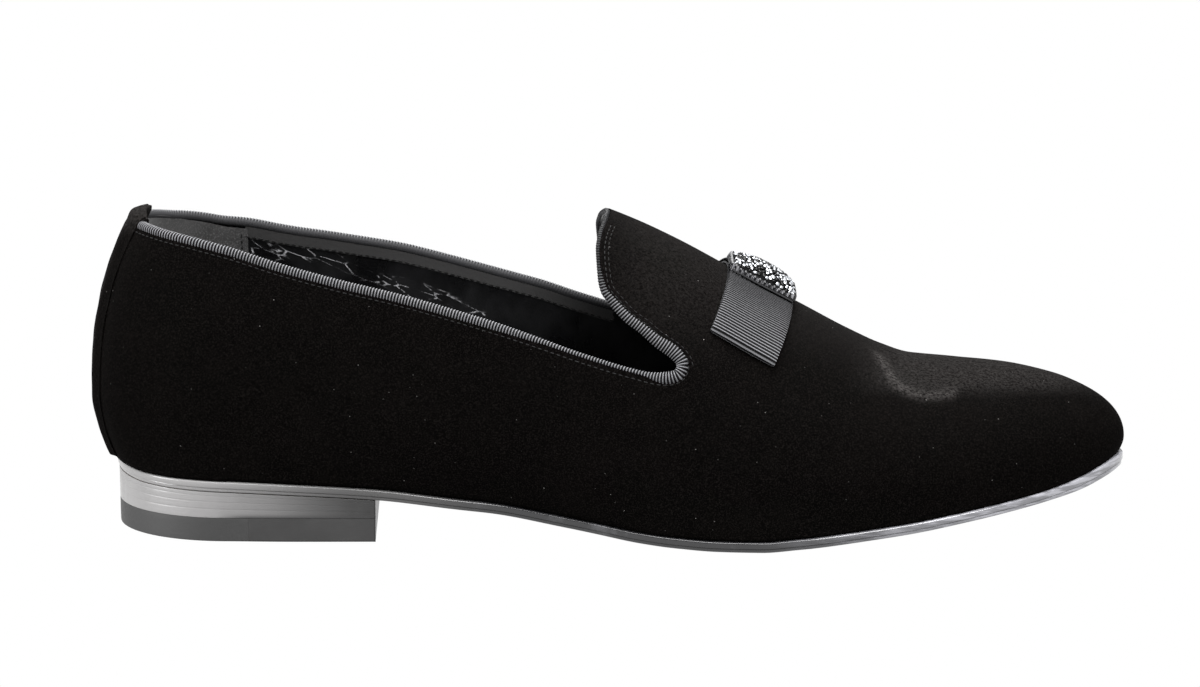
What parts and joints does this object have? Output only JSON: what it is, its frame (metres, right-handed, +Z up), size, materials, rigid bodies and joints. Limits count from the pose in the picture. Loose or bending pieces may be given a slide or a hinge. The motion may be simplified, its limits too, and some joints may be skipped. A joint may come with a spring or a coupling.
{
  "type": "velvet slipper loafer",
  "caption": "Black velvet slipper loafer, right shoe, with grosgrain edge, flat ribbon bow with a crystal knot, leather sole and low stacked heel.",
  "frame": {"origin": "on the floor under the centre of the heel's round back", "axes": "+X to the toe, +Y to the inner (medial) side of the foot, +Z up"},
  "size_m": [0.3034, 0.0982, 0.0929],
  "materials": {
    "black_velvet": "deep matt pile with a soft sheen",
    "black_grosgrain": "ribbed satin",
    "sole_leather": "polished edge",
    "heel_leather": "satin",
    "heel_rubber": "matt",
    "insole_leather": "smooth",
    "crystal": "cut crystals on black"
  },
  "bodies": {
    "root": {"outsole": "sole_leather", "heel_seat_lift": "heel_leather", "heel_main_lift": "heel_leather", "heel_front_piece": "heel_leather", "heel_rubber_piece": "heel_rubber", "insole": "insole_leather", "upper": "black_velvet", "back_strip": "black_velvet", "collar_binding": "black_grosgrain", "bow_ribbon": "black_grosgrain", "bow_knot": "black_grosgrain", "bow_crystal_dome": "crystal"}
  },
  "joints": []
}
